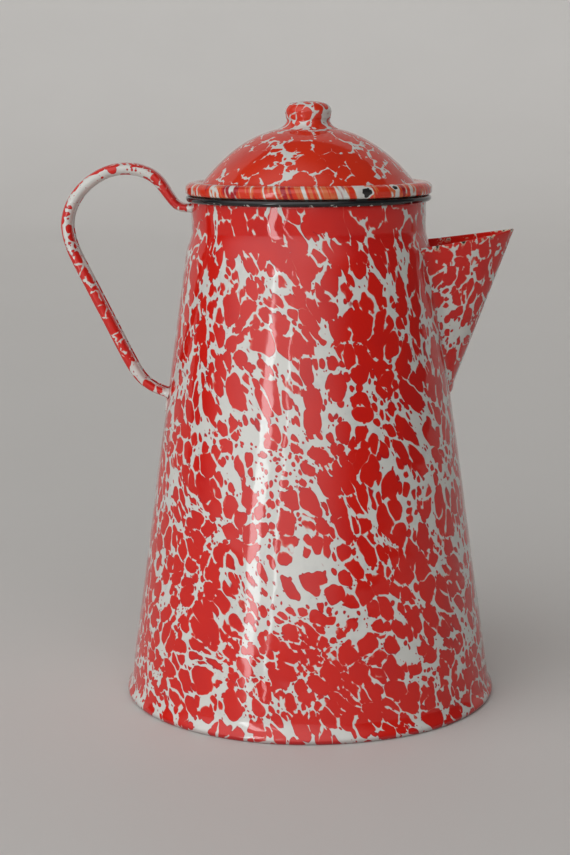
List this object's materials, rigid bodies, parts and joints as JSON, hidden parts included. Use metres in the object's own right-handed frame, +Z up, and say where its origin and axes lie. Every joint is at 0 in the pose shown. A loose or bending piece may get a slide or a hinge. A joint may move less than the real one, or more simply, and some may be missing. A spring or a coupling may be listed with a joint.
{
  "type": "coffee percolator",
  "caption": "Tall conical enamelled camp coffee pot with a trough spout, strap handle, domed lift-off lid and lift-out percolator pump and basket.",
  "frame": {"origin": "middle of the flat underside, on the pot's turning axis", "axes": "+Z up along the turning axis, +X towards the spout, the handle on -X"},
  "size_m": [0.2199, 0.1844, 0.2922],
  "materials": {
    "body_enamel": "gloss",
    "spout_enamel": "gloss",
    "handle_enamel": "gloss",
    "lid_enamel": "gloss",
    "knob_enamel": "gloss",
    "black_enamel": "gloss",
    "inside_enamel": "gloss",
    "aluminium": "satin"
  },
  "bodies": {
    "pot": {"pot_body": "body_enamel", "bottom_pan": "body_enamel", "mouth_bead": "black_enamel", "spout": "spout_enamel", "handle": "handle_enamel"},
    "pump": {"pump_base": "aluminium", "pump_tube": "aluminium", "basket_stop": "aluminium"},
    "basket": {"basket_cup": "aluminium", "basket_sleeve": "aluminium"},
    "spreader": {"spreader_plate": "aluminium"},
    "lid": {"lid_shell": "lid_enamel", "lid_skirt": "inside_enamel", "lid_knob": "knob_enamel", "knob_stud": "aluminium"}
  },
  "joints": [
    {"name": "pump_lift", "type": "slide", "parent": "pot", "child": "pump", "axis": [0, 0, 1], "range_m": [0, 0.25]},
    {"name": "basket_lift", "type": "slide", "parent": "pump", "child": "basket", "axis": [0, 0, 1], "range_m": [0, 0.125]},
    {"name": "spreader_lift", "type": "slide", "parent": "basket", "child": "spreader", "axis": [0, 0, 1], "range_m": [0, 0.06]},
    {"name": "lid_lift", "type": "slide", "parent": "spreader", "child": "lid", "axis": [0, 0, 1], "range_m": [0, 0.06]}
  ]
}
